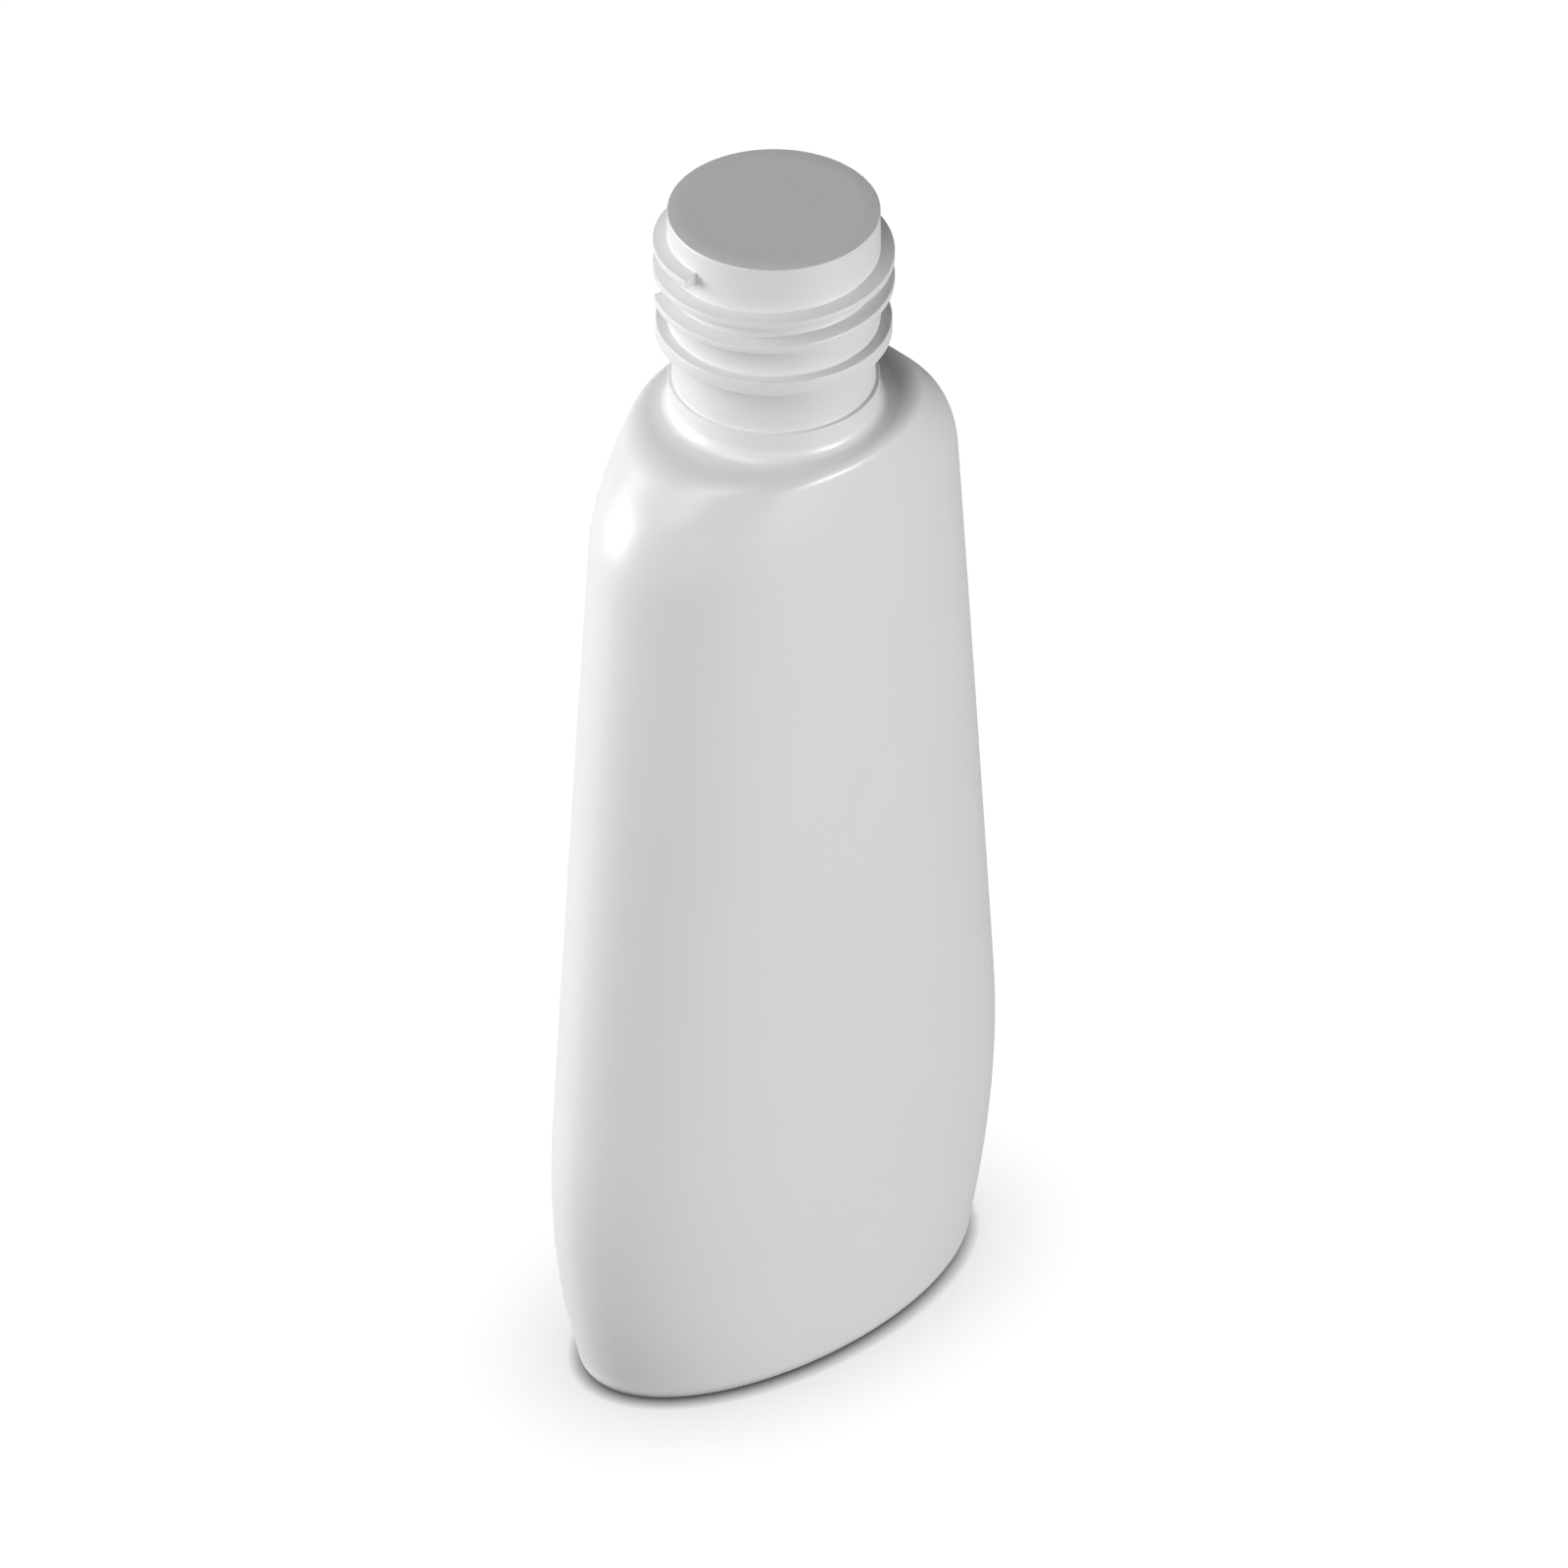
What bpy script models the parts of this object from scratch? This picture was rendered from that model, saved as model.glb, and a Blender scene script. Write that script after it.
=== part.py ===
"""Oval toiletry bottle with a threaded neck, closed by a foil seal on its lip.

The bottle is one blow-moulded shell: an oval body that is widest low down and tapers to a
rounded shoulder, with a round neck that carries a thread and a bead. The seal lifts off the lip.
Metres, +Z up, +X along the oval's long side. The origin is on the floor, under the neck.
"""
import math

import bmesh
import bpy

# Body, outside. A length runs along X and a depth along Y, both right across.
FOOT_LENGTH = 0.0486
FOOT_DEPTH = 0.0262
BELLY_LENGTH = 0.0573
BELLY_HEIGHT = 0.0248
TAPER_HEIGHT = 0.0796
SHOULDER_LENGTH = 0.0441
SHOULDER_DEPTH = 0.0261
SHOULDER_RISE = 0.0070
FACE_RISE = 0.0070
FACE_BOW = 0.00055
DECK_LENGTH = 0.0305
COLLAR_DIAMETER = 0.0210
COLLAR_HEIGHT = 0.0034
SHOULDER_RADIUS = 0.0143
DECK_RADIUS = 0.0070
FACE_EDGE_RADIUS = 0.0012
ROOT_RADIUS = 0.0022
HEEL_RADIUS = 0.0015

# Walls and base
WALL = 0.0011
STANDING_WIDTH = 0.0030
PUSH_UP_HEIGHT = 0.0020

# Neck finish
NECK_HEIGHT = 0.0196
NECK_DIAMETER = 0.0214
BORE_DIAMETER = 0.0178
WAIST_DIAMETER = 0.0205
LIP_CHAMFER = 0.0003
BEAD_DIAMETER = 0.0238
BEAD_DEPTH = 0.0124
BEAD_HEIGHT = 0.00165
THREAD_DIAMETER = 0.0243
THREAD_PITCH = 0.0029
THREAD_DEPTH = 0.0022
THREAD_CREST = 0.0008
THREAD_UPPER_FLANK = 0.0005
THREAD_LOWER_FLANK = 0.00025
THREAD_TURNS = 2.1
THREAD_START = math.radians(180)
THREAD_RUN_IN = math.radians(4)

# Foil seal
SEAL_THICKNESS = 0.0002
SEAL_GAP = 0.0003
SEAL_EDGE = 0.00006

# Facets
SIDES = 64
THREAD_STEPS = 44
ARC_STEPS = 4
FACE_STEPS = 6
DOME_STEPS = 3
RING_GAP = 0.0003
DOME_CAP_SHARE = 0.25
SOCKET_SHARE = 0.4
THREAD_END_SHARE = 0.1
OVERRUN = 0.0004
MERGE = 0.00001
SMOOTH_ANGLE = math.radians(35)

# Heights that follow from the sizes above
SHOULDER_HEIGHT = BELLY_HEIGHT + TAPER_HEIGHT
DECK_HEIGHT = SHOULDER_HEIGHT + SHOULDER_RISE
COLLAR_TOP = DECK_HEIGHT + COLLAR_HEIGHT
LIP_HEIGHT = COLLAR_TOP + NECK_HEIGHT
NECK_RADIUS = NECK_DIAMETER / 2
BORE_RADIUS = BORE_DIAMETER / 2
WAIST_RADIUS = WAIST_DIAMETER / 2
SOCKET_RADIUS = BORE_RADIUS + (WAIST_RADIUS - BORE_RADIUS) * SOCKET_SHARE


def clear_scene():
    for old in list(bpy.data.objects):
        bpy.data.objects.remove(old)


def new_collection(name):
    collection = bpy.data.collections.new(name)
    bpy.context.scene.collection.children.link(collection)
    return collection


def finish(name, color, roughness):
    material = bpy.data.materials.new(name)
    material.use_nodes = True
    shader = material.node_tree.nodes["Principled BSDF"]
    shader.inputs["Base Color"].default_value = (*color, 1.0)
    shader.inputs["Roughness"].default_value = roughness
    shader.inputs["Metallic"].default_value = 0.0
    return material


def add_object(name, mesh, collection, material):
    obj = bpy.data.objects.new(name, mesh)
    collection.objects.link(obj)
    mesh.materials.append(material)
    return obj


def arc(centre, radius, start, end, steps):
    """Points on an arc in an outline's plane, from one angle to another."""
    angles = [start + (end - start) * step / steps for step in range(steps + 1)]
    return [(centre[0] + radius * math.cos(a), centre[1] + radius * math.sin(a)) for a in angles]


def rounded_corner(before, corner, after, radius, steps):
    """The arc that rounds a corner between two straight runs, kept inside both of them."""
    back = (before[0] - corner[0], before[1] - corner[1])
    on = (after[0] - corner[0], after[1] - corner[1])
    back_length = math.hypot(*back)
    on_length = math.hypot(*on)
    back = (back[0] / back_length, back[1] / back_length)
    on = (on[0] / on_length, on[1] / on_length)
    half = math.acos(back[0] * on[0] + back[1] * on[1]) / 2
    reach = min(radius / math.tan(half), back_length / 2, on_length / 2)
    radius = reach * math.tan(half)
    middle = (back[0] + on[0], back[1] + on[1])
    stretch = radius / math.sin(half) / math.hypot(*middle)
    centre = (corner[0] + middle[0] * stretch, corner[1] + middle[1] * stretch)
    first = (corner[0] + back[0] * reach, corner[1] + back[1] * reach)
    last = (corner[0] + on[0] * reach, corner[1] + on[1] * reach)
    start = math.atan2(first[1] - centre[1], first[0] - centre[0])
    end = math.atan2(last[1] - centre[1], last[0] - centre[0])
    turn = math.remainder(end - start, 2 * math.pi)
    return arc(centre, radius, start, start + turn, steps)


def long_outline():
    """Half length against height: an arc through foot and belly, a straight taper, the shoulder."""
    swell = (BELLY_LENGTH - FOOT_LENGTH) / 2
    belly_radius = (BELLY_HEIGHT ** 2 + swell ** 2) / (2 * swell)
    centre = (BELLY_LENGTH / 2 - belly_radius, BELLY_HEIGHT)
    corner = (SHOULDER_LENGTH / 2, SHOULDER_HEIGHT)
    away = (corner[0] - centre[0], corner[1] - centre[1])
    tangent = math.atan2(away[1], away[0]) - math.acos(min(1, belly_radius / math.hypot(*away)))
    foot = -math.asin(BELLY_HEIGHT / belly_radius)
    points = arc(centre, belly_radius, foot, tangent, FACE_STEPS)
    deck = (DECK_LENGTH / 2, DECK_HEIGHT)
    root = (COLLAR_DIAMETER / 2, DECK_HEIGHT)
    top = (NECK_RADIUS, COLLAR_TOP)
    points += rounded_corner(points[-1], corner, deck, SHOULDER_RADIUS, 2 * ARC_STEPS)
    points += rounded_corner(corner, deck, root, DECK_RADIUS, ARC_STEPS)
    points += rounded_corner(deck, root, top, ROOT_RADIUS, ARC_STEPS)
    return points + [top]


def short_outline():
    """Half depth against height: a face that bows slightly, and a tight edge to the shoulder."""
    foot = FOOT_DEPTH / 2
    edge = (SHOULDER_DEPTH / 2, SHOULDER_HEIGHT + FACE_RISE)
    shares = [step / FACE_STEPS for step in range(FACE_STEPS)]
    points = [(foot + (edge[0] - foot) * s + FACE_BOW * 4 * s * (1 - s), edge[1] * s) for s in shares]
    root = (COLLAR_DIAMETER / 2, DECK_HEIGHT)
    top = (NECK_RADIUS, COLLAR_TOP)
    points += rounded_corner(points[-1], edge, root, FACE_EDGE_RADIUS, ARC_STEPS)
    points += rounded_corner(edge, root, top, ROOT_RADIUS, ARC_STEPS)
    return points + [top]


def size_at(outline, height):
    """An outline's half size at a height."""
    for low, high in zip(outline, outline[1:]):
        if low[1] <= height <= high[1] and high[1] > low[1]:
            return low[0] + (high[0] - low[0]) * (height - low[1]) / (high[1] - low[1])
    return outline[-1][0] if height > outline[-1][1] else outline[0][0]


def oval(half_length, half_depth, height):
    angles = [2 * math.pi * side / SIDES for side in range(SIDES)]
    return [(half_length * math.cos(a), half_depth * math.sin(a), height) for a in angles]


def ring_heights(outlines):
    """Every height at which an outline turns, without near repeats."""
    heights = sorted(point[1] for outline in outlines for point in outline)
    kept = [HEEL_RADIUS]
    for height in heights:
        if height - kept[-1] > RING_GAP:
            kept.append(height)
    return kept[1:]


def heel_rings(half_length, half_depth, inset, lift, radius):
    """The base of a shell: a dome, the flat ring that it stands on and the rounded heel."""
    flat = (half_length - inset - radius, half_depth - inset - radius)
    inner = (flat[0] - STANDING_WIDTH, flat[1] - STANDING_WIDTH)
    rings = []
    for step in range(DOME_STEPS):
        share = DOME_CAP_SHARE + (1 - DOME_CAP_SHARE) * step / DOME_STEPS
        rise = PUSH_UP_HEIGHT * math.cos(share * math.pi / 2)
        rings.append(oval(inner[0] * share, inner[1] * share, lift + rise))
    rings.append(oval(*inner, lift))
    for across, height in arc((0, radius), radius, -math.pi / 2, 0, ARC_STEPS // 2):
        rings.append(oval(flat[0] + across, flat[1] + across, lift + height))
    return rings


def body_mesh():
    """One closed skin: the outer rings from the base to the collar, then the inner ones back down."""
    outlines = (long_outline(), short_outline())
    foot = [size_at(outline, HEEL_RADIUS) for outline in outlines]
    outer = heel_rings(*foot, 0, 0, HEEL_RADIUS)
    inner = heel_rings(*foot, WALL, WALL, HEEL_RADIUS)
    floor = inner[-1][0][2]
    for place, height in enumerate(ring_heights(outlines)):
        sizes = [size_at(outline, height) for outline in outlines]
        outer.append(oval(*sizes, height))
        lowered = height - WALL
        if place % 2 and lowered > floor + RING_GAP:
            inner.append(oval(*[max(size - WALL, SOCKET_RADIUS) for size in sizes], lowered))
    inner.append(oval(SOCKET_RADIUS, SOCKET_RADIUS, COLLAR_TOP))
    return loft_mesh("bottle", outer + inner[::-1])


def loft_mesh(name, rings):
    """Faces between rings that follow one another, with both ends closed."""
    shape = bmesh.new()
    rows = [[shape.verts.new(point) for point in ring] for ring in rings]
    count = len(rows[0])
    for low, high in zip(rows, rows[1:]):
        for side in range(count):
            following = (side + 1) % count
            shape.faces.new((low[side], low[following], high[following], high[side]))
    shape.faces.new(rows[0][::-1])
    shape.faces.new(rows[-1])
    bmesh.ops.recalc_face_normals(shape, faces=shape.faces)
    mesh = bpy.data.meshes.new(name)
    shape.to_mesh(mesh)
    shape.free()
    return mesh


def turned(name, profile, collection, material):
    """A closed profile in the XZ plane, swept once round Z."""
    mesh = bpy.data.meshes.new(name)
    count = len(profile)
    edges = [(point, (point + 1) % count) for point in range(count)]
    mesh.from_pydata([(across, 0, height) for across, height in profile], edges, [])
    obj = add_object(name, mesh, collection, material)
    screw = obj.modifiers.new("Screw", "SCREW")
    screw.steps = SIDES
    screw.render_steps = SIDES
    screw.use_merge_vertices = True
    screw.merge_threshold = MERGE
    return obj


def make_neck(collection, material):
    """The tube of the finish, from inside the collar up to the lip, with the bead on it."""
    bead_top = LIP_HEIGHT - BEAD_DEPTH
    bead_foot = bead_top - BEAD_HEIGHT
    bead_radius = BEAD_DIAMETER / 2
    profile = [
        (NECK_RADIUS - LIP_CHAMFER, LIP_HEIGHT),
        (NECK_RADIUS, LIP_HEIGHT - LIP_CHAMFER),
        (NECK_RADIUS, bead_top),
        (bead_radius, bead_top),
        (bead_radius, bead_foot),
        (WAIST_RADIUS, bead_foot),
        (WAIST_RADIUS, DECK_HEIGHT),
        (BORE_RADIUS, DECK_HEIGHT),
        (BORE_RADIUS, LIP_HEIGHT - LIP_CHAMFER),
        (BORE_RADIUS + LIP_CHAMFER, LIP_HEIGHT),
    ]
    return turned("neck", profile, collection, material)


def make_thread(collection, material):
    """A right-hand ridge of trapezoid section that winds down the neck, blunt at both ends."""
    sweep = THREAD_TURNS * 2 * math.pi
    full = sweep - 2 * THREAD_RUN_IN
    count = round(THREAD_TURNS * THREAD_STEPS)
    turns = [0] + [THREAD_RUN_IN + full * step / count for step in range(count + 1)] + [sweep]
    crest = THREAD_DIAMETER / 2 - NECK_RADIUS
    buried = NECK_RADIUS - OVERRUN
    spread = 1 + OVERRUN / crest
    sections = []
    for turned_by in turns:
        share = 1 if 0 < turned_by < sweep else THREAD_END_SHARE
        reach = buried + (crest + OVERRUN) * share
        angle = THREAD_START - turned_by
        drop = THREAD_DEPTH + THREAD_PITCH * turned_by / (2 * math.pi)
        upper = LIP_HEIGHT - drop - THREAD_UPPER_FLANK
        lower = upper - THREAD_CREST
        outline = [
            (buried, upper + THREAD_UPPER_FLANK * spread),
            (reach, upper),
            (reach, lower),
            (buried, lower - THREAD_LOWER_FLANK * spread),
        ]
        sections.append([(r * math.cos(angle), r * math.sin(angle), z) for r, z in outline])
    return add_object("thread", loft_mesh("thread", sections), collection, material)


def join(obj, tool):
    union = obj.modifiers.new(f"Join {tool.name}", "BOOLEAN")
    union.operation = "UNION"
    union.object = tool
    union.solver = "EXACT"
    tool.hide_render = True
    tool.display_type = "WIRE"


def make_bottle(parts, tools):
    material = finish("white_plastic", (0.80, 0.80, 0.80), 0.35)
    bottle = add_object("bottle", body_mesh(), parts, material)
    join(bottle, make_neck(tools, material))
    join(bottle, make_thread(tools, material))
    bottle.data.shade_smooth()
    bottle.data.set_sharp_from_angle(angle=SMOOTH_ANGLE)


def make_seal(parts):
    """A foil disc as wide as the neck, just clear of the lip."""
    foil = finish("seal_foil", (0.80, 0.80, 0.80), 0.6)
    middle = LIP_HEIGHT + SEAL_GAP + SEAL_THICKNESS / 2
    bpy.ops.mesh.primitive_cylinder_add(
        vertices=SIDES, radius=NECK_RADIUS, depth=SEAL_THICKNESS, location=(0, 0, middle)
    )
    seal = bpy.context.object
    seal.name = "foil_seal"
    seal.data.name = "foil_seal"
    seal.data.materials.append(foil)
    for collection in list(seal.users_collection):
        collection.objects.unlink(seal)
    parts.objects.link(seal)
    bevel = seal.modifiers.new("Bevel", "BEVEL")
    bevel.width = SEAL_EDGE
    bevel.segments = 1
    seal.data.shade_smooth()
    seal.data.set_sharp_from_angle(angle=SMOOTH_ANGLE)


def main():
    clear_scene()
    parts = new_collection("oval_bottle")
    tools = new_collection("joined_shapes")
    make_bottle(parts, tools)
    make_seal(parts)


main()
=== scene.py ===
"""Looks of the oval toiletry bottle: a moulded shell with a threaded neck, and a seal on its lip.

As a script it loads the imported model, builds both pieces round it and sets the stage. It is laid
out as an add-on, so its panel lists the same steps and the sizes and finishes that they use.
Metres, +Z up, +X along the oval's long side. The origin is on the floor, under the neck.
"""
import math

import bmesh
import bpy
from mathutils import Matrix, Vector


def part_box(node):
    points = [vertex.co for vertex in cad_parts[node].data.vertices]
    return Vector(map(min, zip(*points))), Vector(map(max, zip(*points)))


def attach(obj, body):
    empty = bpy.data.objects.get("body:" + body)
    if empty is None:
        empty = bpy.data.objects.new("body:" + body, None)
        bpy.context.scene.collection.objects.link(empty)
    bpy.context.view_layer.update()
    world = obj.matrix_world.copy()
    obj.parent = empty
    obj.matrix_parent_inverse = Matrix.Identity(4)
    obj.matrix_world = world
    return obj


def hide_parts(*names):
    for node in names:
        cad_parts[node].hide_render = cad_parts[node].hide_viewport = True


bl_info = {
    "name": "Oval Bottle",
    "version": (1, 0, 0),
    "blender": (4, 5, 0),
    "location": "View3D > Sidebar > Oval Bottle",
    "description": "Builds a blow-moulded oval bottle with a foil seal, and a plain studio for it",
    "category": "Add Mesh",
}

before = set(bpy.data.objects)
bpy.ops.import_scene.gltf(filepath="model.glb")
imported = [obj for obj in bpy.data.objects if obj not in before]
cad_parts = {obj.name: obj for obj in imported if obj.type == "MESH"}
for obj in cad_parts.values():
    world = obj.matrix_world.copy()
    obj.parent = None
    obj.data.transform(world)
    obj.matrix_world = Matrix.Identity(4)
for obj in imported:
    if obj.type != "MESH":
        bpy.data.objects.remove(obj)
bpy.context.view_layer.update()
BOTTLE_LOW, BOTTLE_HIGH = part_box("bottle")
SEAL_LOW, SEAL_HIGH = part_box("foil_seal")

MM = 0.001
FULL_TURN = 2 * math.pi

# Meshes: points nearer than this become one, and steeper edges than this stay sharp
MERGE = 0.002 * MM
SHARP_ANGLE = math.radians(38)

# Faces: columns round the bottle, and steps along each arc or run of an outline
COLUMNS = 240
FACE_STEPS = 18
TAPER_STEPS = 14
SHOULDER_STEPS = 20
DECK_STEPS = 10
EDGE_STEPS = 8
SMALL_STEPS = 5
HEEL_STEPS = 7
DOME_STEPS = 10

# Rings of the body: the least gap between two, and the outer rings to each one inside
RING_GAP = 0.06 * MM
INNER_STRIDE = 3

# Camera
SENSOR_WIDTH = 36
CLIP_START, CLIP_END = 0.1, 20

# Lamps: each one's turn from the camera's side and tilt over the floor, in degrees
LAMPS = {"left": (-91, 10), "right": (58, 4), "front": (0, 8), "top": (-35, 54)}

# Floor: the rays that see it glow white, its brightness to them where nothing hems it in, and the
# samples of each painted shade, which darkens that glow by how closely the bottle hems the floor
# in and not by the lamps' shadows. Light that bounces off it meets its plain tone instead.
SEEN_RAYS = ("Is Camera Ray", "Is Glossy Ray", "Is Transmission Ray")
OPEN_WHITE = 1.02
SHADE_SAMPLES = 6

# Noise in the finishes: the width of its lumps, its detail and its roughness
CLOUD = (14 * MM, 2, 0.5)
PEEL = (0.7 * MM, 3, 0.55)
GRAIN = (0.16 * MM, 2, 0.5)
CRINKLE = (3.5 * MM, 2, 0.5)
LACQUER = (0.9 * MM, 3, 0.5)

# Plastic: its darkest and lightest tint, what its relief is made of and how strong that is, how
# far its roughness drifts, and its gloss, which is the same from every side so that the rims stay
# as dark as the walls
PLASTIC_TINTS = (0.985, 1.015)
PEEL_SHARE, GRAIN_SHARE = 0.7, 0.3
PLASTIC_RELIEF = 0.35
CLOUD_DRIFT, GRAIN_DRIFT = 0.06, 0.04
GLOSS_SHARE = 0.08

# Foil: the same, with the pitch of its emboss and the level of its lacquer's gloss
FOIL_TINTS = (0.99, 1.01)
EMBOSS_SHARE, CRINKLE_SHARE = 0.5, 0.5
FOIL_RELIEF = 0.3
LACQUER_DRIFT = 0.08
LACQUER_GLOSS = 0.25
EMBOSS_PITCH = 0.35 * MM

# Depth of both finishes' relief, and the width in which a wave texture of scale 1 repeats
RELIEF_DEPTH = 0.012 * MM
WAVE_SCALE = math.pi / 10

# Rise of the thread's blunt ends: columns from the end, and the share of its full reach there
END_RISE = ((0.0, 0.0), (0.03, 0.86), (0.12, 0.95), (0.3, 0.99), (0.7, 1.0))


def length(name, description, default):
    """A size in metres that the sidebar shows in millimetres or whatever the scene uses."""
    return bpy.props.FloatProperty(
        name=name, description=description, default=default, min=0, precision=5, unit="LENGTH"
    )


def share(name, description, default):
    return bpy.props.FloatProperty(
        name=name, description=description, default=default, min=0, max=1, subtype="FACTOR"
    )


def level(name, description, default):
    return bpy.props.FloatProperty(name=name, description=description, default=default, min=0)


def angle(name, description, degrees):
    return bpy.props.FloatProperty(
        name=name, description=description, default=math.radians(degrees), subtype="ANGLE"
    )


def colour(name, description, default):
    return bpy.props.FloatVectorProperty(
        name=name, description=description, default=default, min=0, max=1, subtype="COLOR"
    )


class BodySizes(bpy.types.PropertyGroup):
    """The oval body, outside, from the floor to the top of the collar."""

    foot_length: length("Foot Length", "Long side of the oval at the floor", 48.6 * MM)
    foot_depth: length("Foot Depth", "Short side of the oval at the floor", 26.2 * MM)
    belly_length: length("Belly Length", "Longest the oval gets", BOTTLE_HIGH.x - BOTTLE_LOW.x)
    belly_height: length("Belly Height", "Where the oval is longest", 24.8 * MM)
    shoulder_length: length("Shoulder Length", "Long side where the taper ends", 44.1 * MM)
    shoulder_depth: length("Shoulder Depth", "Short side at the top of the faces", 26.1 * MM)
    shoulder_height: length("Shoulder Height", "Where the taper ends", 104.4 * MM)
    face_height: length("Face Height", "Where the flat faces end", 111.4 * MM)
    belly_depth: length("Belly Depth", "Deepest the oval gets", BOTTLE_HIGH.y - BOTTLE_LOW.y)
    deck_length: length("Deck Length", "Long side of the deck round the collar", 30.5 * MM)
    deck_height: length("Deck Height", "Level deck round the collar", 111.4 * MM)
    collar_diameter: length("Collar Diameter", "Foot of the collar", 21.0 * MM)
    collar_top: length("Collar Top", "Rim of the collar", 114.8 * MM)
    shoulder_radius: length("Shoulder Radius", "Rounding of the narrow shoulders", 14.3 * MM)
    deck_radius: length("Deck Radius", "Rounding from the shoulders to the deck", 7.0 * MM)
    face_edge_radius: length("Face Edge Radius", "Rounding over the faces", 1.2 * MM)
    root_radius: length("Root Radius", "Hollow between the deck and the collar", 2.2 * MM)
    heel_radius: length("Heel Radius", "Rounding under the body", 1.8 * MM)
    wall: length("Wall", "Thickness of the plastic", 1.1 * MM)
    standing_width: length("Standing Width", "Flat ring that the bottle rests on", 3.0 * MM)
    push_up: length("Push-up", "Height of the hollow in the base", 2.0 * MM)


class NeckSizes(bpy.types.PropertyGroup):
    """The threaded neck, from the collar to the lip."""

    neck_diameter: length("Neck Diameter", "Wall of the neck", SEAL_HIGH.x - SEAL_LOW.x)
    bore_diameter: length("Bore Diameter", "Mouth of the neck", 17.8 * MM)
    waist_diameter: length("Waist Diameter", "Neck between collar and bead", 20.46 * MM)
    lip_height: length("Lip Height", "Where the seal lies on the lip", SEAL_LOW.z)
    lip_radius: length("Lip Radius", "Rounding of the lip", 0.12 * MM)
    rim_radius: length("Rim Radius", "Rounding of the collar's rim", 0.12 * MM)
    waist_fillet: length("Waist Fillet", "Hollow at the foot of the waist", 0.1 * MM)
    bead_diameter: length("Bead Diameter", "Bead under the thread", 23.8 * MM)
    bead_top: length("Bead Top", "Upper face of the bead", 122.0 * MM)
    bead_height: length("Bead Height", "Thickness of the bead", 1.65 * MM)
    edge_radius: length("Edge Radius", "Rounding of the thread and bead", 0.12 * MM)
    hollow_radius: length("Hollow Radius", "Fillet under the thread and the bead", 0.1 * MM)
    flare_radius: length("Flare Radius", "Flare of the wall above a thread or bead", 0.8 * MM)
    flare_lean: angle("Flare Lean", "How far that flare leans out at its foot", 17)
    thread_diameter: length("Thread Diameter", "Crest of the thread", 24.3 * MM)
    thread_top: length("Thread Top", "Where the thread starts on the wall", 132.3 * MM)
    thread_pitch: length("Thread Pitch", "Drop of the thread in one turn", 2.9 * MM)
    thread_crest: length("Thread Crest", "Height of the thread's outer band", 0.8 * MM)
    upper_flank: length("Upper Flank", "Drop of the thread's upper side", 0.4 * MM)
    lower_flank: length("Lower Flank", "Rise of the thread's under side", 0.2 * MM)
    thread_turns: level("Thread Turns", "How many times the thread goes round", 2.1)
    thread_start: angle("Thread Start", "Where the thread's upper end stands", 180)


class SealSizes(bpy.types.PropertyGroup):
    """The foil seal on the lip."""

    edge_radius: length("Edge Radius", "Rounding of the cut edge", 0.06 * MM)
    land_width: length("Land Width", "Ring that is pressed on to the lip", 1.8 * MM)
    dip: length("Dip", "How far the foil sinks inside that ring", 0.03 * MM)


class Finishes(bpy.types.PropertyGroup):
    """Colours and gloss of the two pieces."""

    plastic: colour("Plastic", "Body colour of the moulded plastic", (0.8, 0.8, 0.8))
    plastic_roughness: share("Plastic Roughness", "Satin surface of the mould", 0.36)
    foil: colour("Foil", "Colour of the seal's lacquer", (0.8, 0.8, 0.8))
    foil_roughness: share("Foil Roughness", "Matt lacquer over the foil", 0.62)


class StageSettings(bpy.types.PropertyGroup):
    """Camera, lights and floor."""

    view_turn: angle("View Turn", "Camera's turn round the bottle from the broad face", -43.76)
    view_tilt: angle("View Tilt", "Camera's height over the horizon", 35.83)
    view_distance: length("View Distance", "From the camera to its aim", 2.984)
    lens: level("Lens", "Focal length of the camera in millimetres", 675.0)
    aim_height: length("Aim Height", "Height that the camera aims at", 63.99 * MM)
    aim_side: length("Aim Side", "How far right of the neck it aims", 1.02 * MM)
    floor_size: length("Floor Size", "Side of the square floor", 12.0)
    floor_tone: share("Floor Tone", "How much of its light the floor throws back", 0.12)
    # Painted shadow on the floor: these set how far and how deeply its white glow is darkened by
    # how closely the bottle hems it in, not by the lamps
    painted_near_shade: length("Near Shade", "Reach of the dark shade under the heel", 1.6 * MM)
    near_depth: level("Near Depth", "How dark that shade gets", 1.1)
    painted_wide_shade: length("Wide Shade", "Reach of the faint shade round the foot", 14.0 * MM)
    wide_depth: level("Wide Depth", "How dark that shade gets", 0.37)
    horizon: level("Horizon", "Brightness of the studio at eye level", 0.45)
    fall_off: level("Fall-off", "How fast the studio darkens overhead", 3.0)
    lamp_distance: length("Lamp Distance", "From each lamp to the bottle", 1.2)
    left_power: level("Left Power", "Watts of the lamp on the left", 15.6)
    left_width: length("Left Width", "Width of the lamp on the left", 0.75)
    left_height: length("Left Height", "Height of the lamp on the left", 0.75)
    right_power: level("Right Power", "Watts of the lamp on the right", 9.5)
    right_width: length("Right Width", "Width of the lamp on the right", 0.6)
    right_height: length("Right Height", "Height of the lamp on the right", 0.3)
    front_power: level("Front Power", "Watts of the lamp in front", 1.2)
    front_width: length("Front Width", "Width of the lamp in front", 0.6)
    front_height: length("Front Height", "Height of the lamp in front", 0.6)
    top_power: level("Top Power", "Watts of the lamp overhead", 4.5)
    top_width: length("Top Width", "Width of the lamp overhead", 0.6)
    top_height: length("Top Height", "Height of the lamp overhead", 0.6)


def arc(centre, radius, start, end, steps):
    """Points on an arc in an outline's plane, from one angle to another."""
    angles = [start + (end - start) * step / steps for step in range(steps + 1)]
    return [(centre[0] + radius * math.cos(a), centre[1] + radius * math.sin(a)) for a in angles]


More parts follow.
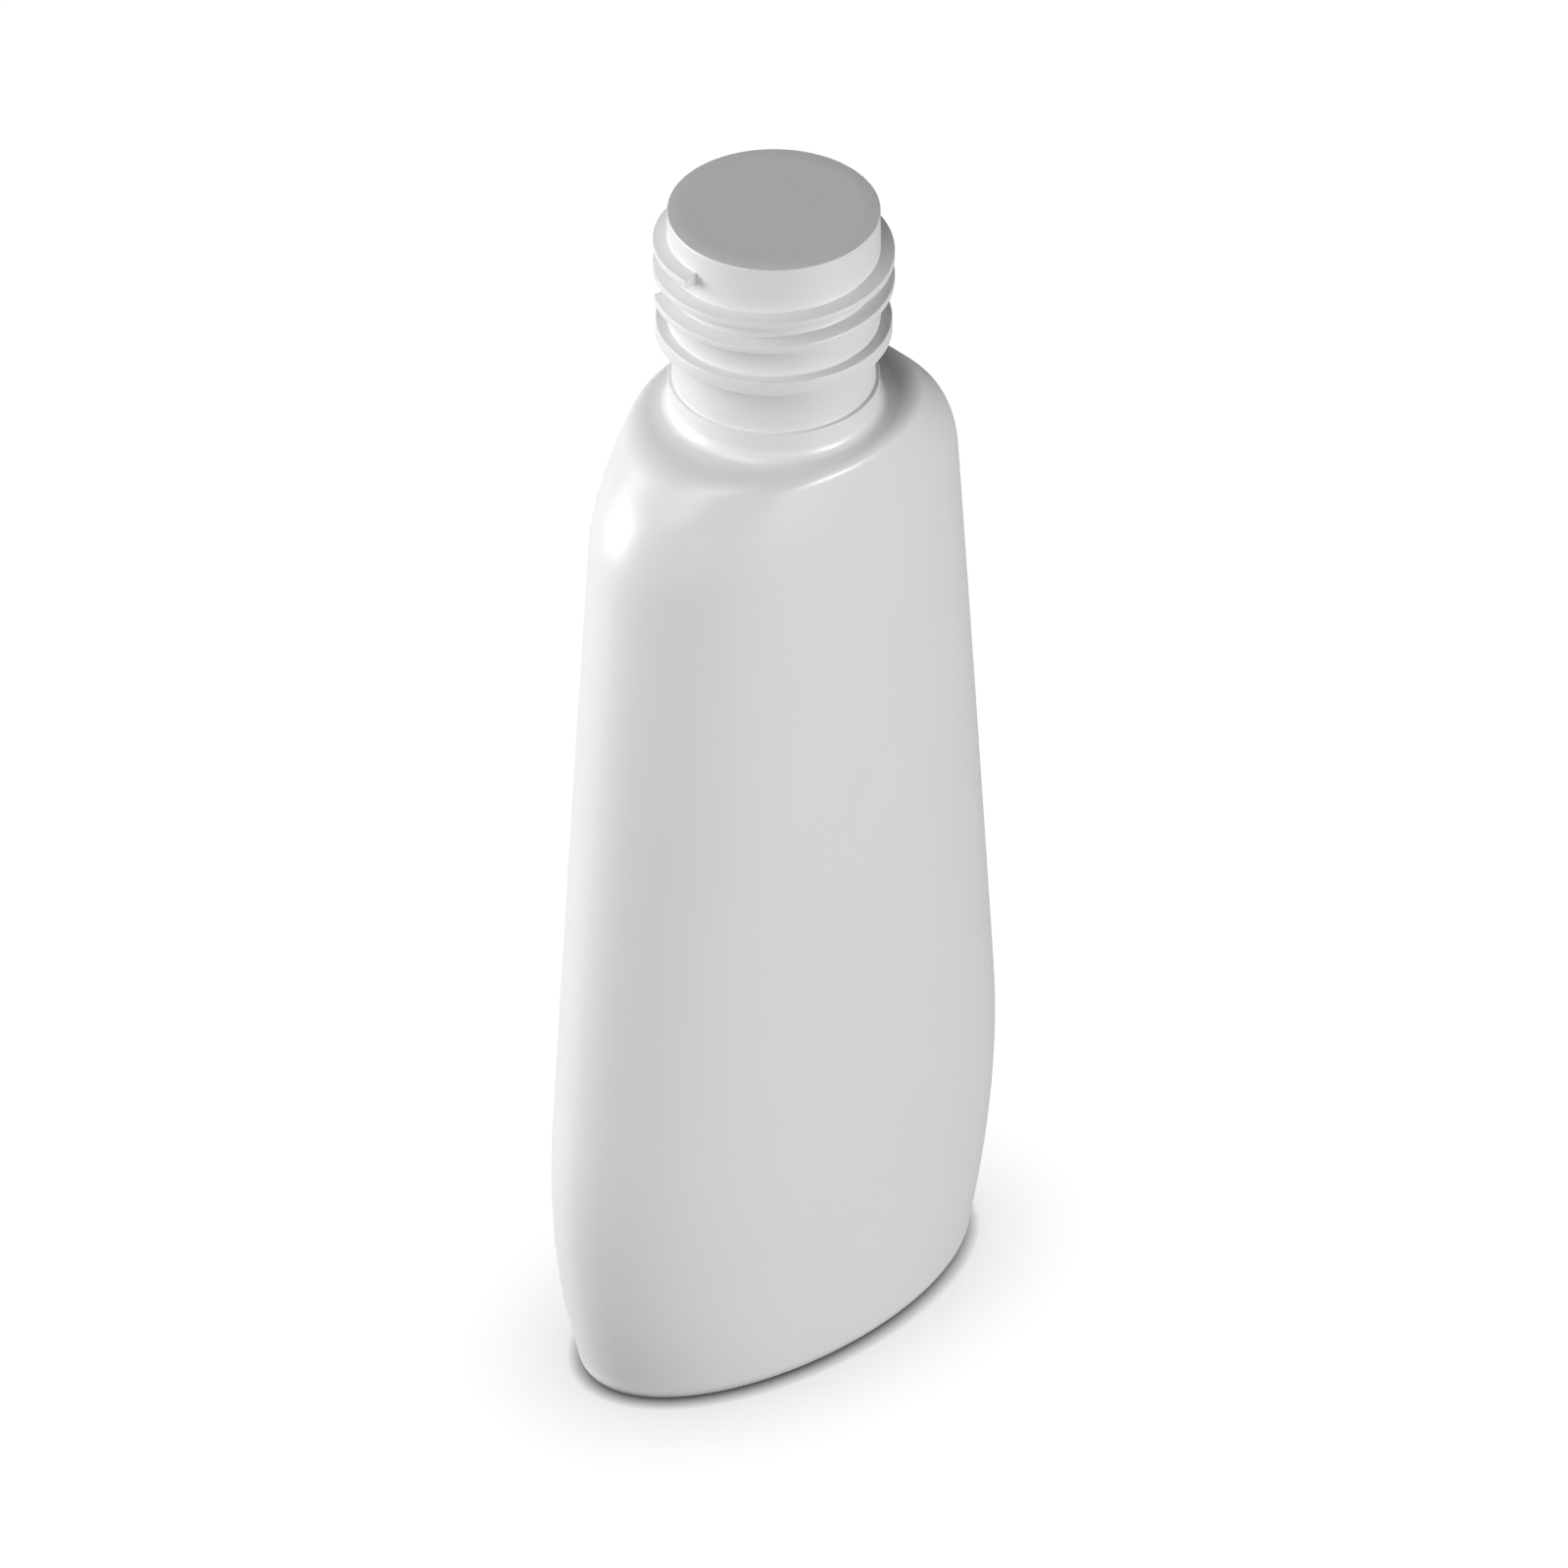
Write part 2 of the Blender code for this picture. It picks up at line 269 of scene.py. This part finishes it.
def rounded_corner(before, corner, after, radius, steps):
    """The arc that rounds a corner between two straight runs, kept inside both of them."""
    back = Vector(before) - Vector(corner)
    on = Vector(after) - Vector(corner)
    half = back.angle(on) / 2
    reach = min(radius / math.tan(half), back.length / 2, on.length / 2)
    radius = reach * math.tan(half)
    middle = (back.normalized() + on.normalized()).normalized()
    centre = Vector(corner) + middle * radius / math.sin(half)
    first = Vector(corner) + back.normalized() * reach - centre
    last = Vector(corner) + on.normalized() * reach - centre
    start = math.atan2(first.y, first.x)
    turn = math.remainder(math.atan2(last.y, last.x) - start, FULL_TURN)
    return arc(centre, radius, start, start + turn, steps)


def rounded_path(points, radii, steps):
    """A run of points whose inner corners are rounded, one radius each; 0 keeps one sharp."""
    path = [points[0]]
    for place, radius in enumerate(radii, start=1):
        if radius:
            path += rounded_corner(*points[place - 1:place + 2], radius, steps)
        else:
            path.append(points[place])
    return path + [points[-1]]


def long_outline(body, neck):
    """Half length against height: an arc through foot and belly, a straight taper, a shoulder."""
    swell = (body.belly_length - body.foot_length) / 2
    belly_radius = (body.belly_height ** 2 + swell ** 2) / (2 * swell)
    centre = Vector((body.belly_length / 2 - belly_radius, body.belly_height))
    corner = (body.shoulder_length / 2, body.shoulder_height)
    away = Vector(corner) - centre
    tangent = math.atan2(away.y, away.x) - math.acos(min(1, belly_radius / away.length))
    foot = -math.asin(body.belly_height / belly_radius)
    points = arc(centre, belly_radius, foot, tangent, FACE_STEPS)
    deck = (body.deck_length / 2, body.deck_height)
    root = (body.collar_diameter / 2, body.deck_height)
    top = (neck.neck_diameter / 2, body.collar_top)
    shoulder = rounded_corner(points[-1], corner, deck, body.shoulder_radius, SHOULDER_STEPS)
    points += even_run(points[-1], shoulder[0], TAPER_STEPS) + shoulder
    points += rounded_corner(corner, deck, root, body.deck_radius, DECK_STEPS)
    points += rounded_corner(deck, root, top, body.root_radius, EDGE_STEPS)
    return points + [top]


def short_outline(body, neck):
    """Half depth against height: a face that bows slightly, and a tight edge to the shoulder."""
    foot = body.foot_depth / 2
    edge = (body.shoulder_depth / 2, body.face_height)
    lean = edge[0] - foot
    swell = (body.belly_depth - foot - edge[0]) / 2
    bow = 2 * (swell + math.sqrt(swell ** 2 - lean ** 2 / 4))
    shares = [step / FACE_STEPS for step in range(FACE_STEPS)]
    points = [(foot + lean * s + bow * s * (1 - s), edge[1] * s) for s in shares]
    root = (body.collar_diameter / 2, body.deck_height)
    top = (neck.neck_diameter / 2, body.collar_top)
    points += rounded_corner(points[-1], edge, root, body.face_edge_radius, EDGE_STEPS)
    points += rounded_corner(edge, root, top, body.root_radius, EDGE_STEPS)
    return points + [top]


def even_run(start, end, steps):
    """Points between two ends of a straight run, without the ends."""
    return [
        tuple(Vector(start).lerp(Vector(end), step / steps)) for step in range(1, steps)
    ]


def size_at(outline, height):
    """An outline's half size at a height."""
    for low, high in zip(outline, outline[1:]):
        if low[1] <= height <= high[1] and high[1] > low[1]:
            return low[0] + (high[0] - low[0]) * (height - low[1]) / (high[1] - low[1])
    return outline[-1][0] if height > outline[-1][1] else outline[0][0]


def ring_heights(outlines, lowest):
    """Every height above the lowest at which an outline turns, without near repeats."""
    kept = [lowest]
    for height in sorted(point[1] for outline in outlines for point in outline):
        if height - kept[-1] > RING_GAP:
            kept.append(height)
    return kept[1:]


class Columns:
    """The angles round the bottle at which every ring has a point.

    They start at the thread's upper end and go down with it, and crowd at its two blunt ends.
    """

    def __init__(self, neck):
        self.sweep = neck.thread_turns * FULL_TURN
        self.step = FULL_TURN / COLUMNS
        last = self.sweep % FULL_TURN
        ends = [offset * self.step for offset, _ in END_RISE]
        ends += [last - offset * self.step for offset, _ in END_RISE]
        clear = self.step * (1 - END_RISE[-1][0]) / 2
        even = [self.step * column for column in range(COLUMNS)]
        even = [turn for turn in even if all(abs(turn - end) > clear for end in ends)]
        self.turns = sorted(ends + even)
        self.start = neck.thread_start

    def rise(self, turned_by):
        """How far the thread stands out, from 0 before an end to 1 along it."""
        inside = min(turned_by, self.sweep - turned_by) / self.step
        if inside <= 0:
            return 0
        for (low, low_rise), (high, high_rise) in zip(END_RISE, END_RISE[1:]):
            if inside <= high:
                return low_rise + (high_rise - low_rise) * (inside - low) / (high - low)
        return 1

    def oval(self, half_length, half_depth, height):
        around = [self.start - turn for turn in self.turns]
        return [(half_length * math.cos(a), half_depth * math.sin(a), height) for a in around]

    def circle(self, radius, height):
        return self.oval(radius, radius, height)


def base_rings(columns, half_length, half_depth, body, inset, lift):
    """The base of a shell: a dome, the flat ring that it stands on and the rounded heel."""
    radius = body.heel_radius
    flat = (half_length - inset - radius, half_depth - inset - radius)
    inner = (flat[0] - body.standing_width, flat[1] - body.standing_width)
    rings = []
    for step in range(DOME_STEPS):
        out = (step + 1) / (DOME_STEPS + 1)
        rise = body.push_up * math.cos(out * math.pi / 2)
        rings.append(columns.oval(inner[0] * out, inner[1] * out, lift + rise))
    rings.append(columns.oval(*inner, lift))
    for across, height in arc((0, radius), radius, -math.pi / 2, 0, HEEL_STEPS):
        rings.append(columns.oval(flat[0] + across, flat[1] + across, lift + height))
    return rings


def outer_body_rings(columns, body, outlines):
    foot = [size_at(outline, body.heel_radius) for outline in outlines]
    rings = base_rings(columns, *foot, body, 0, 0)
    for height in ring_heights(outlines, body.heel_radius)[:-1]:
        rings.append(columns.oval(*[size_at(outline, height) for outline in outlines], height))
    return rings


def inner_body_rings(columns, body, neck, outlines):
    """The inside, from the bore's foot down to the middle of the base."""
    foot = [size_at(outline, body.heel_radius) for outline in outlines]
    rings = base_rings(columns, *foot, body, body.wall, body.wall)
    floor = body.heel_radius + body.wall
    bore = neck.bore_diameter / 2
    for height in ring_heights(outlines, body.heel_radius)[::INNER_STRIDE]:
        if height - body.wall > floor + RING_GAP:
            sizes = [max(size_at(outline, height) - body.wall, bore) for outline in outlines]
            rings.append(columns.oval(*sizes, height - body.wall))
    return rings[::-1]


def lower_neck_rings(columns, body, neck):
    """Collar rim, waist and bead, up to where the thread's strip begins."""
    collar = neck.neck_diameter / 2
    waist = neck.waist_diameter / 2
    bead = neck.bead_diameter / 2
    bead_foot = neck.bead_top - neck.bead_height
    flare = [(collar + out, neck.bead_top + rise) for out, rise in flare_points(neck)]
    points = [
        (collar, body.deck_height),
        (collar, body.collar_top),
        (waist, body.collar_top),
        (waist, bead_foot),
        (bead, bead_foot),
        (bead, neck.bead_top),
        flare[-1],
    ]
    edge = neck.edge_radius
    radii = (neck.rim_radius, neck.waist_fillet, neck.hollow_radius, edge, edge)
    path = rounded_path(points, radii, SMALL_STEPS) + flare[-2::-1]
    path.append((collar, strip_foot(neck)))
    return [columns.circle(*point) for point in path[1:]]


def upper_neck_rings(columns, body, neck):
    """The wall over the thread, the lip, and the bore down to the shoulder."""
    wall = neck.neck_diameter / 2
    bore = neck.bore_diameter / 2
    points = [
        (wall, strip_head(neck)),
        (wall, neck.lip_height),
        (bore, neck.lip_height),
        (bore, body.collar_top),
    ]
    path = rounded_path(points, (neck.lip_radius, neck.lip_radius), SMALL_STEPS)
    return [columns.circle(*point) for point in path]


def strip_head(neck):
    """Top of the thread's strip: under the lip's rounding, by as much again."""
    return neck.lip_height - neck.lip_radius * 2


def strip_foot(neck):
    """Foot of the thread's strip: on the plain wall over the bead's flare."""
    return neck.bead_top + neck.flare_radius


def flare_points(neck):
    """Where the wall flares out above a ridge: (reach off the wall, rise over the ridge)."""
    radius, lean = neck.flare_radius, neck.flare_lean
    turns = [lean * step / SMALL_STEPS for step in range(SMALL_STEPS + 1)]
    foot = radius * math.sin(lean)
    return [(radius * (1 - math.cos(t)), foot - radius * math.sin(t)) for t in turns]


def thread_section(neck):
    """One pitch of the neck's outline: (drop below the strip's upper edge, reach off the wall)."""
    reach = (neck.thread_diameter - neck.neck_diameter) / 2
    height = neck.upper_flank + neck.thread_crest + neck.lower_flank
    head = (neck.thread_pitch - height) / 2
    crest = head + neck.upper_flank
    flare = [(out, head - rise) for out, rise in flare_points(neck)]
    points = [
        flare[-1],
        (reach, crest),
        (reach, crest + neck.thread_crest),
        (0, head + height),
        (0, neck.thread_pitch),
    ]
    radii = (neck.edge_radius, neck.edge_radius, neck.hollow_radius)
    path = [(0, 0)] + flare[:-1] + rounded_path(points, radii, SMALL_STEPS)
    return [(drop, out) for out, drop in path], head


def thread_strip(columns, neck):
    """Rows of the neck's wall that wind down with the thread, one pitch high.

    The strip's edges stop at a level ring above and below, where its rows close up to nothing.
    """
    section, head = thread_section(neck)
    upper, lower = strip_head(neck), strip_foot(neck)
    pitch = neck.thread_pitch
    wall = neck.neck_diameter / 2

    def edge(turned_by):
        free = neck.thread_top + head - pitch * turned_by / FULL_TURN
        return min(upper, max(lower, free))

    first = -math.ceil((upper - neck.thread_top) / pitch) - 1
    last = math.ceil((neck.thread_top + head - lower) / pitch)
    turns = []
    for whole in range(first, last + 1):
        rows = []
        for drop, out in section:
            row = []
            for turn in columns.turns:
                turned_by = turn + whole * FULL_TURN
                top = edge(turned_by)
                height = top - (top - edge(turned_by + FULL_TURN)) * drop / pitch
                radius = wall + out * columns.rise(turned_by)
                around = columns.start - turn
                row.append((radius * math.cos(around), radius * math.sin(around), height))
            rows.append(row)
        turns.append(rows)
    return turns


def add_rings(shape, rings, close_first=False, close_last=False):
    """Faces between rings that follow one another."""
    rows = [[shape.verts.new(point) for point in ring] for ring in rings]
    count = len(rows[0])
    for low, high in zip(rows, rows[1:]):
        for side in range(count):
            following = (side + 1) % count
            shape.faces.new((low[side], low[following], high[following], high[side]))
    if close_first:
        shape.faces.new(rows[0])
    if close_last:
        shape.faces.new(rows[-1])


def add_strip(shape, turns):
    """Faces of a strip that winds: the last column of a turn joins the first one of the next."""
    grid = [[[shape.verts.new(point) for point in row] for row in rows] for rows in turns]
    count = len(grid[0][0])
    for whole, rows in enumerate(grid):
        for place in range(len(rows) - 1):
            for side in range(count):
                if side + 1 < count:
                    other, following = rows, side + 1
                elif whole + 1 < len(grid):
                    other, following = grid[whole + 1], 0
                else:
                    continue
                shape.faces.new((
                    rows[place][side],
                    other[place][following],
                    other[place + 1][following],
                    rows[place + 1][side],
                ))


def finished_mesh(name, shape):
    """Welds what meets, drops what has no area and turns every face outwards."""
    bmesh.ops.remove_doubles(shape, verts=shape.verts, dist=MERGE)
    bmesh.ops.dissolve_degenerate(shape, edges=shape.edges, dist=MERGE)
    bmesh.ops.recalc_face_normals(shape, faces=shape.faces)
    mesh = bpy.data.meshes.new(name)
    shape.to_mesh(mesh)
    shape.free()
    mesh.shade_smooth()
    mesh.set_sharp_from_angle(angle=SHARP_ANGLE)
    return mesh


def add_piece(name, mesh, material):
    piece = bpy.data.objects.new(name, mesh)
    bpy.context.scene.collection.objects.link(piece)
    mesh.materials.append(material)
    return piece


class Value:
    """A node's output that Python's operators carry on into Math nodes."""

    def __init__(self, graph, socket):
        self.graph = graph
        self.socket = socket

    def math(self, operation, *values):
        made = self.graph.node("ShaderNodeMath", {"operation": operation}, dict(enumerate(values)))
        return Value(self.graph, made.outputs[0])

    def __add__(self, other):
        return self.math("ADD", self, other)

    def __sub__(self, other):
        return self.math("SUBTRACT", self, other)

    def __rsub__(self, other):
        return self.math("SUBTRACT", other, self)

    def __mul__(self, other):
        return self.math("MULTIPLY", self, other)

    def __pow__(self, other):
        return self.math("POWER", self, other)

    __radd__ = __add__
    __rmul__ = __mul__

    def clamped(self):
        return self.math("MINIMUM", self.math("MAXIMUM", self, 0.0), 1.0)


class Graph:
    """The nodes of a material or of the world."""

    def __init__(self, owner):
        owner.use_nodes = True
        self.tree = owner.node_tree
        self.tree.nodes.clear()

    def node(self, kind, settings=None, sockets=None):
        """Adds a node: its settings first, then a value or a link for each socket."""
        made = self.tree.nodes.new(kind)
        for name, value in (settings or {}).items():
            setattr(made, name, value)
        for name, value in (sockets or {}).items():
            if isinstance(value, Value):
                self.tree.links.new(value.socket, made.inputs[name])
            else:
                made.inputs[name].default_value = value
        return made

    def value(self, kind, settings=None, sockets=None, output=0):
        """Adds a node and hands back one of its outputs."""
        return Value(self, self.node(kind, settings, sockets).outputs[output])

    def mixed(self, factor, first, second):
        """A colour between two, by a number."""
        return self.value(
            "ShaderNodeMix",
            {"data_type": "RGBA"},
            {"Factor": factor, 6: first, 7: second},
            output=2,
        )

    def noise(self, place, size, detail, roughness):
        """Noise whose lumps are about as wide as the size, in metres."""
        return self.value(
            "ShaderNodeTexNoise",
            None,
            {"Vector": place, "Scale": 1 / size, "Detail": detail, "Roughness": roughness},
        )

    def ridges(self, place, direction, pitch):
        """Even ridges across one direction, from 0 in the grooves to 1 on the crests."""
        return self.value(
            "ShaderNodeTexWave",
            {"wave_type": "BANDS", "bands_direction": direction, "wave_profile": "SIN"},
            {"Vector": place, "Scale": WAVE_SCALE / pitch, "Distortion": 0.0},
            output="Fac",
        )

    def relief(self, height, strength):
        """A bump from a height of 0 to 1, as deep as both finishes have it."""
        return self.value(
            "ShaderNodeBump",
            None,
            {"Strength": strength, "Distance": RELIEF_DEPTH, "Height": height},
        )

    def openness(self, reach):
        """How little a surface is hemmed in within the reach: 1 in the open."""
        return self.value(
            "ShaderNodeAmbientOcclusion",
            {"samples": SHADE_SAMPLES},
            {"Distance": reach},
            output="AO",
        )

    def finish(self, kind, surface):
        output = self.tree.nodes.new(kind)
        self.tree.links.new(surface.outputs[0], output.inputs["Surface"])


def tinted(base, tints):
    """A colour made darker and lighter, as two four-part colours."""
    return [(*[min(1, part * tint) for part in base], 1) for tint in tints]


def plastic_material(finishes):
    """Satin moulded plastic: a faint orange-peel skin, and gloss that drifts over the walls."""
    material = bpy.data.materials.new("white_plastic")
    graph = Graph(material)
    place = graph.value("ShaderNodeTexCoord", output="Object")
    cloud = graph.noise(place, *CLOUD)
    peel = graph.noise(place, *PEEL)
    grain = graph.noise(place, *GRAIN)
    smoothest = finishes.plastic_roughness - (CLOUD_DRIFT + GRAIN_DRIFT) / 2
    surface = graph.node(
        "ShaderNodeBsdfPrincipled",
        None,
        {
            "Base Color": graph.mixed(cloud, *tinted(finishes.plastic, PLASTIC_TINTS)),
            "Roughness": cloud * CLOUD_DRIFT + grain * GRAIN_DRIFT + smoothest,
            "Normal": graph.relief(peel * PEEL_SHARE + grain * GRAIN_SHARE, PLASTIC_RELIEF),
            "Metallic": GLOSS_SHARE,
            "Specular IOR Level": 0.0,
        },
    )
    graph.finish("ShaderNodeOutputMaterial", surface)
    return material


def foil_material(finishes):
    """Lacquered foil: matt and pale, with a fine woven emboss and the faintest crinkle."""
    material = bpy.data.materials.new("seal_foil")
    graph = Graph(material)
    place = graph.value("ShaderNodeTexCoord", output="Object")
    warp = graph.ridges(place, "X", EMBOSS_PITCH)
    weft = graph.ridges(place, "Y", EMBOSS_PITCH)
    crinkle = graph.noise(place, *CRINKLE)
    lacquer = graph.noise(place, *LACQUER)
    height = warp * weft * EMBOSS_SHARE + crinkle * CRINKLE_SHARE
    smoothest = finishes.foil_roughness - LACQUER_DRIFT / 2
    surface = graph.node(
        "ShaderNodeBsdfPrincipled",
        None,
        {
            "Base Color": graph.mixed(lacquer, *tinted(finishes.foil, FOIL_TINTS)),
            "Roughness": lacquer * LACQUER_DRIFT + smoothest,
            "Normal": graph.relief(height, FOIL_RELIEF),
            "Specular IOR Level": LACQUER_GLOSS,
        },
    )
    graph.finish("ShaderNodeOutputMaterial", surface)
    return material


class OVALBOTTLE_OT_shell(bpy.types.Operator):
    """Build the moulded shell: oval body, shoulder, collar and threaded neck"""

    bl_idname = "oval_bottle.shell"
    bl_label = "Moulded Shell"

    def execute(self, context):
        body = context.scene.oval_body
        neck = context.scene.oval_neck
        outlines = (long_outline(body, neck), short_outline(body, neck))
        columns = Columns(neck)
        outer = outer_body_rings(columns, body, outlines)
        outer += lower_neck_rings(columns, body, neck)
        inner = upper_neck_rings(columns, body, neck)
        inner += inner_body_rings(columns, body, neck, outlines)
        shape = bmesh.new()
        add_rings(shape, outer, close_first=True)
        add_strip(shape, thread_strip(columns, neck))
        add_rings(shape, inner, close_last=True)
        mesh = finished_mesh("moulded_shell", shape)
        shell = add_piece("moulded_shell", mesh, plastic_material(context.scene.oval_finishes))
        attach(shell, "bottle")
        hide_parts("bottle")
        return {"FINISHED"}


class OVALBOTTLE_OT_seal(bpy.types.Operator):
    """Build the foil seal that lies on the lip"""

    bl_idname = "oval_bottle.seal"
    bl_label = "Foil Seal"

    def execute(self, context):
        sizes = context.scene.oval_seal
        neck = context.scene.oval_neck
        columns = Columns(neck)
        rim = (SEAL_HIGH.x - SEAL_LOW.x) / 2
        land = rim - sizes.land_width
        middle = land / 2
        points = [
            (middle, SEAL_LOW.z),
            (rim, SEAL_LOW.z),
            (rim, SEAL_HIGH.z),
            (land, SEAL_HIGH.z),
            (land - sizes.land_width, SEAL_HIGH.z - sizes.dip),
            (middle, SEAL_HIGH.z - sizes.dip),
        ]
        edge = sizes.edge_radius
        radii = (edge, edge, sizes.land_width, sizes.land_width)
        path = rounded_path(points, radii, SMALL_STEPS)
        shape = bmesh.new()
        rings = [columns.circle(*point) for point in path]
        add_rings(shape, rings, close_first=True, close_last=True)
        mesh = finished_mesh("lip_seal", shape)
        seal = add_piece("lip_seal", mesh, foil_material(context.scene.oval_finishes))
        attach(seal, "seal")
        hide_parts("foil_seal")
        return {"FINISHED"}


def place_facing(thing, aim, turn, tilt, distance):
    """Stands a lamp or camera at a turn and a tilt from what it looks at."""
    back = Vector((
        math.sin(turn) * math.cos(tilt), -math.cos(turn) * math.cos(tilt), math.sin(tilt)
    ))
    thing.location = aim + back * distance
    thing.rotation_euler = (-back).to_track_quat("-Z", "Y").to_euler()
    bpy.context.scene.collection.objects.link(thing)


def add_lamp(stage, name, turn, tilt):
    """A soft flat lamp, at a turn from the camera's side and a tilt over the floor."""
    data = bpy.data.lights.new(f"{name}_lamp", "AREA")
    data.shape = "RECTANGLE"
    data.size = getattr(stage, f"{name}_width")
    data.size_y = getattr(stage, f"{name}_height")
    data.energy = getattr(stage, f"{name}_power")
    lamp = bpy.data.objects.new(data.name, data)
    aim = Vector((0, 0, stage.aim_height))
    place_facing(lamp, aim, stage.view_turn + turn, tilt, stage.lamp_distance)


def add_camera(stage):
    right = Vector((math.cos(stage.view_turn), math.sin(stage.view_turn), 0))
    aim = right * stage.aim_side + Vector((0, 0, stage.aim_height))
    data = bpy.data.cameras.new("camera")
    data.sensor_width = SENSOR_WIDTH
    data.lens = stage.lens
    data.clip_start = CLIP_START
    data.clip_end = CLIP_END
    camera = bpy.data.objects.new("camera", data)
    place_facing(camera, aim, stage.view_turn, stage.view_tilt, stage.view_distance)
    bpy.context.scene.camera = camera


def floor_material(stage):
    """Pale matt floor that glows white to the eye and in gloss, with a painted shadow where the
    bottle hems it in.
    """
    material = bpy.data.materials.new("floor")
    graph = Graph(material)
    tone = stage.floor_tone
    matt = graph.node("ShaderNodeBsdfDiffuse", None, {"Color": (tone, tone, tone, 1)})
    # Painted shadow: the glow's strength is cut by how hemmed in the floor is near the bottle, not
    # by the lamps' light
    near = graph.openness(stage.painted_near_shade) ** stage.near_depth
    wide = graph.openness(stage.painted_wide_shade) ** stage.wide_depth
    white = graph.node("ShaderNodeEmission", None, {"Strength": near * wide * OPEN_WHITE})
    rays = graph.node("ShaderNodeLightPath")
    seen = [Value(graph, rays.outputs[name]) for name in SEEN_RAYS]
    switch = graph.node(
        "ShaderNodeMixShader", None, {0: (seen[0] + seen[1] + seen[2]).clamped()}
    )
    graph.tree.links.new(matt.outputs[0], switch.inputs[1])
    graph.tree.links.new(white.outputs[0], switch.inputs[2])
    graph.finish("ShaderNodeOutputMaterial", switch)
    return material


def add_floor(stage):
    half = stage.floor_size / 2
    mesh = bpy.data.meshes.new("floor")
    corners = [(-half, -half, 0), (half, -half, 0), (half, half, 0), (-half, half, 0)]
    mesh.from_pydata(corners, [], [(0, 1, 2, 3)])
    mesh.materials.append(floor_material(stage))
    floor = bpy.data.objects.new("floor", mesh)
    bpy.context.scene.collection.objects.link(floor)


def add_world(stage):
    world = bpy.data.worlds.new("studio")
    bpy.context.scene.world = world
    graph = Graph(world)
    place = graph.value("ShaderNodeTexCoord", output="Generated")
    split = graph.node("ShaderNodeSeparateXYZ", None, {0: place})
    height = Value(graph, split.outputs["Z"]).clamped()
    strength = (1 - height) ** stage.fall_off * stage.horizon
    surface = graph.node("ShaderNodeBackground", None, {"Strength": strength})
    graph.finish("ShaderNodeOutputWorld", surface)


class OVALBOTTLE_OT_stage(bpy.types.Operator):
    """Set the camera, the floor and the studio's lights"""

    bl_idname = "oval_bottle.stage"
    bl_label = "Stage"

    def execute(self, context):
        stage = context.scene.oval_stage
        add_camera(stage)
        add_floor(stage)
        add_world(stage)
        for name, (turn, tilt) in LAMPS.items():
            add_lamp(stage, name, math.radians(turn), math.radians(tilt))
        context.scene.view_settings.view_transform = "Standard"
        return {"FINISHED"}


class OVALBOTTLE_PT_sidebar(bpy.types.Panel):
    """Sizes, finishes and steps of the oval bottle"""

    bl_idname = "OVALBOTTLE_PT_sidebar"
    bl_label = "Oval Bottle"
    bl_space_type = "VIEW_3D"
    bl_region_type = "UI"
    bl_category = "Oval Bottle"

    def draw(self, context):
        for name, operator in STEPS:
            box = self.layout.box()
            group = getattr(context.scene, name)
            for prop in group.bl_rna.properties:
                if prop.identifier not in ("name", "rna_type"):
                    box.prop(group, prop.identifier)
            if operator:
                box.operator(operator)


GROUPS = {
    "oval_body": BodySizes,
    "oval_neck": NeckSizes,
    "oval_seal": SealSizes,
    "oval_finishes": Finishes,
    "oval_stage": StageSettings,
}
STEPS = (
    ("oval_finishes", None),
    ("oval_body", None),
    ("oval_neck", OVALBOTTLE_OT_shell.bl_idname),
    ("oval_seal", OVALBOTTLE_OT_seal.bl_idname),
    ("oval_stage", OVALBOTTLE_OT_stage.bl_idname),
)
CLASSES = (OVALBOTTLE_OT_shell, OVALBOTTLE_OT_seal, OVALBOTTLE_OT_stage, OVALBOTTLE_PT_sidebar)


def register():
    for group in GROUPS.values():
        bpy.utils.register_class(group)
    for name, group in GROUPS.items():
        setattr(bpy.types.Scene, name, bpy.props.PointerProperty(type=group))
    for made in CLASSES:
        bpy.utils.register_class(made)


def unregister():
    for made in reversed(CLASSES):
        bpy.utils.unregister_class(made)
    for name, group in reversed(GROUPS.items()):
        delattr(bpy.types.Scene, name)
        bpy.utils.unregister_class(group)


def main():
    register()
    bpy.ops.oval_bottle.shell()
    bpy.ops.oval_bottle.seal()
    bpy.ops.oval_bottle.stage()


if __name__ == "__main__":
    main()
